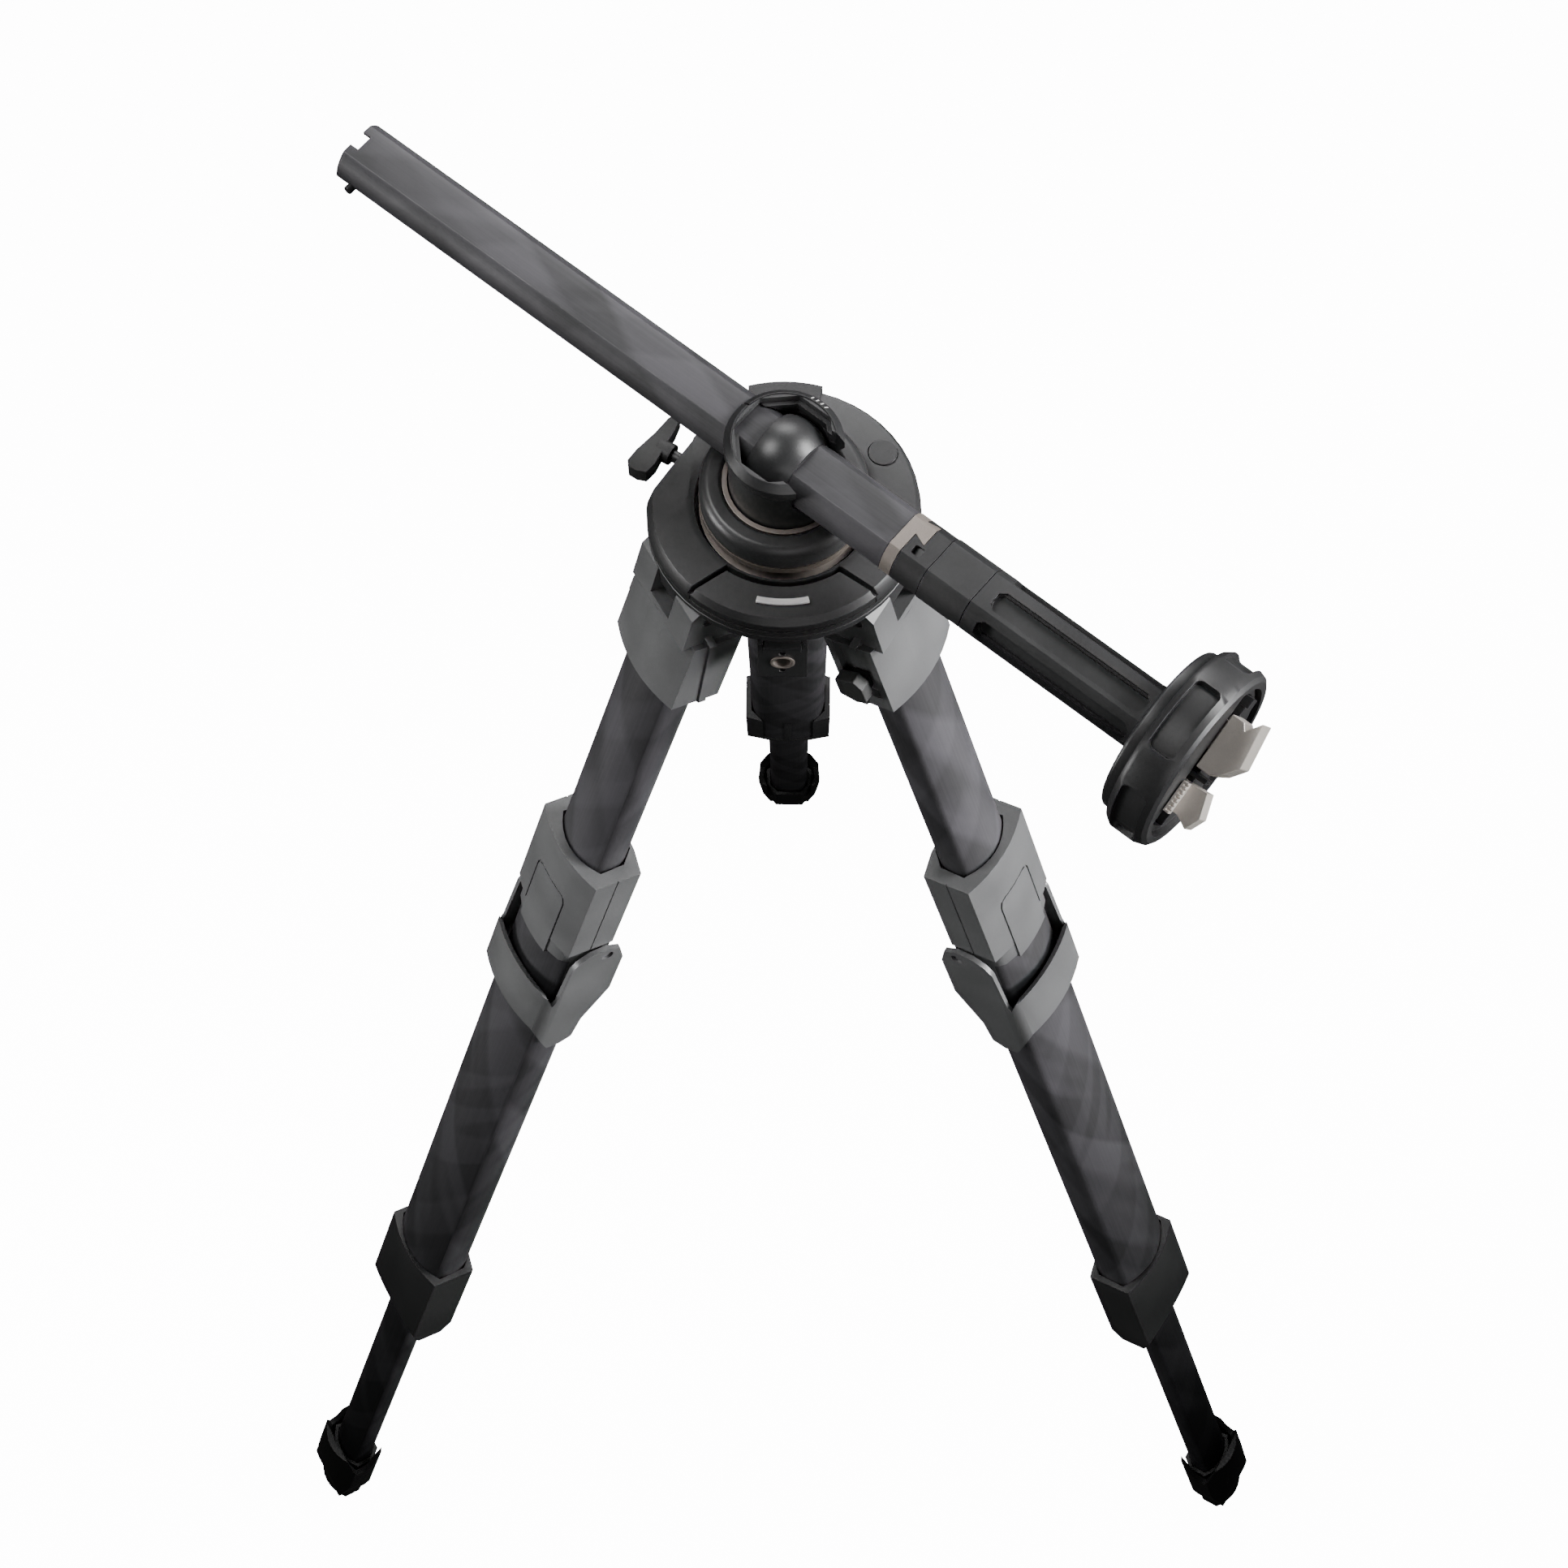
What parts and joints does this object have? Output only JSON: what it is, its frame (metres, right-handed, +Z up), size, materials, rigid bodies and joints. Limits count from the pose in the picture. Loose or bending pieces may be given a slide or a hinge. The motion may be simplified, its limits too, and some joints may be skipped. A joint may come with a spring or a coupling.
{
  "type": "tripod",
  "caption": "Carbon-fibre tripod with telescopic legs, a levelling bowl in its crown, and a centre column swung level that ends in a twist-lock quick-release mount.",
  "frame": {"origin": "on the ground, at the centre of the whole tripod's footprint box", "axes": "+Z up; -Y is the front, where the crown's front plate and accessory socket face; +X to the right seen from the front"},
  "size_m": [0.6656, 0.5794, 1.1787],
  "materials": {
    "charcoal_paint": "fine-textured satin charcoal paint",
    "black_plastic": "satin black",
    "carbon": "dark grey carbon fibre under a satin clear coat",
    "bronze_metal": "bead-blasted taupe anodising",
    "silver_metal": "satin warm silver",
    "rubber": "matte black"
  },
  "bodies": {
    "crown": {"crown_body": "charcoal_paint", "crown_cover": "charcoal_paint", "front_plate": "charcoal_paint", "front_badge": "silver_metal", "round_cap": "charcoal_paint", "accessory_plate": "charcoal_paint", "accessory_catch": "black_plastic", "leg_1_hinge_pin": "charcoal_paint", "leg_2_hinge_pin": "charcoal_paint", "leg_3_hinge_pin": "charcoal_paint"},
    "wing_knob": {"wing_knob": "black_plastic", "wing_knob_screw": "silver_metal"},
    "level_cradle": {"levelling_ball": "bronze_metal"},
    "level_head": {"levelling_ring": "charcoal_paint", "levelling_band": "bronze_metal", "ring_insert": "bronze_metal"},
    "tower": {"column_tower": "black_plastic", "tower_liner": "charcoal_paint", "column_ball": "black_plastic"},
    "column": {"column_tube": "carbon", "tail_plug": "black_plastic", "column_ring": "bronze_metal", "column_collar": "black_plastic", "column_grip": "black_plastic", "mount_base": "charcoal_paint", "mount_receiver": "charcoal_paint", "mount_button": "black_plastic"},
    "latch": {"column_latch": "black_plastic"},
    "lock_ring": {"mount_lock_ring": "black_plastic"},
    "jaw_large": {"jaw_large": "silver_metal"},
    "jaw_small": {"jaw_small": "silver_metal"},
    "tail_pin": {"tail_pin": "black_plastic"},
    "leg_1": {"leg_1_yoke": "charcoal_paint", "leg_1_upper_tube": "carbon"},
    "leg_1_selector": {"leg_1_angle_selector": "black_plastic"},
    "leg_1_middle": {"leg_1_clamp_collar": "charcoal_paint", "leg_1_middle_tube": "carbon", "leg_1_lower_collar": "charcoal_paint"},
    "leg_1_lever": {"leg_1_lock_lever": "charcoal_paint"},
    "leg_1_lower": {"leg_1_lower_tube": "carbon", "leg_1_foot": "rubber"},
    "leg_2": {"leg_2_yoke": "charcoal_paint", "leg_2_upper_tube": "carbon"},
    "leg_2_selector": {"leg_2_angle_selector": "black_plastic"},
    "leg_2_middle": {"leg_2_clamp_collar": "charcoal_paint", "leg_2_middle_tube": "carbon", "leg_2_lower_collar": "charcoal_paint"},
    "leg_2_lever": {"leg_2_lock_lever": "charcoal_paint"},
    "leg_2_lower": {"leg_2_lower_tube": "carbon", "leg_2_foot": "rubber"},
    "leg_3": {"leg_3_yoke": "charcoal_paint", "leg_3_upper_tube": "carbon"},
    "leg_3_selector": {"leg_3_angle_selector": "black_plastic"},
    "leg_3_middle": {"leg_3_clamp_collar": "charcoal_paint", "leg_3_middle_tube": "carbon", "leg_3_lower_collar": "charcoal_paint"},
    "leg_3_lever": {"leg_3_lock_lever": "charcoal_paint"},
    "leg_3_lower": {"leg_3_lower_tube": "carbon", "leg_3_foot": "rubber"}
  },
  "joints": [
    {"name": "level_roll", "type": "hinge", "parent": "crown", "child": "level_cradle", "pos_m": [0, -0.08695, 1.098], "axis": [1, 0, 0], "range_deg": [-8, 8]},
    {"name": "level_pitch", "type": "hinge", "parent": "level_cradle", "child": "level_head", "pos_m": [0, -0.08695, 1.098], "axis": [0, 1, 0], "range_deg": [-8, 8]},
    {"name": "tower_pan", "type": "hinge", "parent": "level_head", "child": "tower", "pos_m": [0, -0.08695, 1.113], "axis": [0, 0, 1], "continuous": true},
    {"name": "column_slide", "type": "slide", "parent": "tower", "child": "column", "axis": [0.7771, -0.6293, 0], "range_m": [-0.036, 0.215]},
    {"name": "latch_open", "type": "hinge", "parent": "column", "child": "latch", "pos_m": [0.08772, -0.13752, 1.13609], "axis": [-0.7771, 0.6293, 0], "range_deg": [0, 55]},
    {"name": "mount_lock", "type": "hinge", "parent": "column", "child": "lock_ring", "pos_m": [0.17408, -0.22792, 1.133], "axis": [0.7771, -0.6293, 0], "range_deg": [0, 35]},
    {"name": "jaw_large_slide", "type": "slide", "parent": "column", "child": "jaw_large", "axis": [-0.5557, -0.6862, -0.4695], "range_m": [0, 0.0018]},
    {"name": "jaw_small_slide", "type": "slide", "parent": "column", "child": "jaw_small", "axis": [0.5557, 0.6862, 0.4695], "range_m": [0, 0.0018]},
    {"name": "tail_pin_press", "type": "slide", "parent": "column", "child": "tail_pin", "axis": [0.6293, 0.7771, 0], "range_m": [0, 0.003], "stiffness_N_per_m": 200},
    {"name": "wing_knob_turn", "type": "hinge", "parent": "crown", "child": "wing_knob", "pos_m": [-0.06, -0.0509, 1.0825], "axis": [-0.8572, 0.515, 0], "continuous": true},
    {"name": "leg_1_splay", "type": "hinge", "parent": "crown", "child": "leg_1", "pos_m": [0.04503, -0.11295, 1.067], "axis": [-0.5, -0.866, 0], "range_deg": [-16.7, 71]},
    {"name": "leg_1_selector_slide", "type": "slide", "parent": "leg_1", "child": "leg_1_selector", "axis": [-0.2489, 0.1437, 0.9578], "range_m": [0, 0.007], "stiffness_N_per_m": 300},
    {"name": "leg_1_middle_slide", "type": "slide", "parent": "leg_1", "child": "leg_1_middle", "axis": [0.2489, -0.1437, -0.9578], "range_m": [-0.15, 0.27]},
    {"name": "leg_1_lever_open", "type": "hinge", "parent": "leg_1_middle", "child": "leg_1_lever", "pos_m": [0.10816, -0.14939, 0.76522], "axis": [-0.5, -0.866, 0], "range_deg": [0, 65]},
    {"name": "leg_1_lower_slide", "type": "slide", "parent": "leg_1_middle", "child": "leg_1_lower", "axis": [0.2489, -0.1437, -0.9578], "range_m": [-0.215, 0.24]},
    {"name": "leg_2_splay", "type": "hinge", "parent": "crown", "child": "leg_2", "pos_m": [0, -0.03495, 1.067], "axis": [1, 0, 0], "range_deg": [-16.7, 71]},
    {"name": "leg_2_selector_slide", "type": "slide", "parent": "leg_2", "child": "leg_2_selector", "axis": [0, -0.2874, 0.9578], "range_m": [0, 0.007], "stiffness_N_per_m": 300},
    {"name": "leg_2_middle_slide", "type": "slide", "parent": "leg_2", "child": "leg_2_middle", "axis": [0, 0.2874, -0.9578], "range_m": [-0.123, 0.297]},
    {"name": "leg_2_lever_open", "type": "hinge", "parent": "leg_2_middle", "child": "leg_2_lever", "pos_m": [0, 0.03019, 0.79108], "axis": [1, 0, 0], "range_deg": [0, 65]},
    {"name": "leg_2_lower_slide", "type": "slide", "parent": "leg_2_middle", "child": "leg_2_lower", "axis": [0, 0.2874, -0.9578], "range_m": [-0.242, 0.213]},
    {"name": "leg_3_splay", "type": "hinge", "parent": "crown", "child": "leg_3", "pos_m": [-0.04503, -0.11295, 1.067], "axis": [-0.5, 0.866, 0], "range_deg": [-16.7, 71]},
    {"name": "leg_3_selector_slide", "type": "slide", "parent": "leg_3", "child": "leg_3_selector", "axis": [0.2489, 0.1437, 0.9578], "range_m": [0, 0.007], "stiffness_N_per_m": 300},
    {"name": "leg_3_middle_slide", "type": "slide", "parent": "leg_3", "child": "leg_3_middle", "axis": [-0.2489, -0.1437, -0.9578], "range_m": [-0.15, 0.27]},
    {"name": "leg_3_lever_open", "type": "hinge", "parent": "leg_3_middle", "child": "leg_3_lever", "pos_m": [-0.10816, -0.14939, 0.76522], "axis": [-0.5, 0.866, 0], "range_deg": [0, 65]},
    {"name": "leg_3_lower_slide", "type": "slide", "parent": "leg_3_middle", "child": "leg_3_lower", "axis": [-0.2489, -0.1437, -0.9578], "range_m": [-0.215, 0.24]}
  ],
  "couplings": [
    {"joint": "jaw_large_slide", "follows": "mount_lock", "m_per_rad": 0.0029},
    {"joint": "jaw_small_slide", "follows": "mount_lock", "m_per_rad": 0.0029}
  ]
}
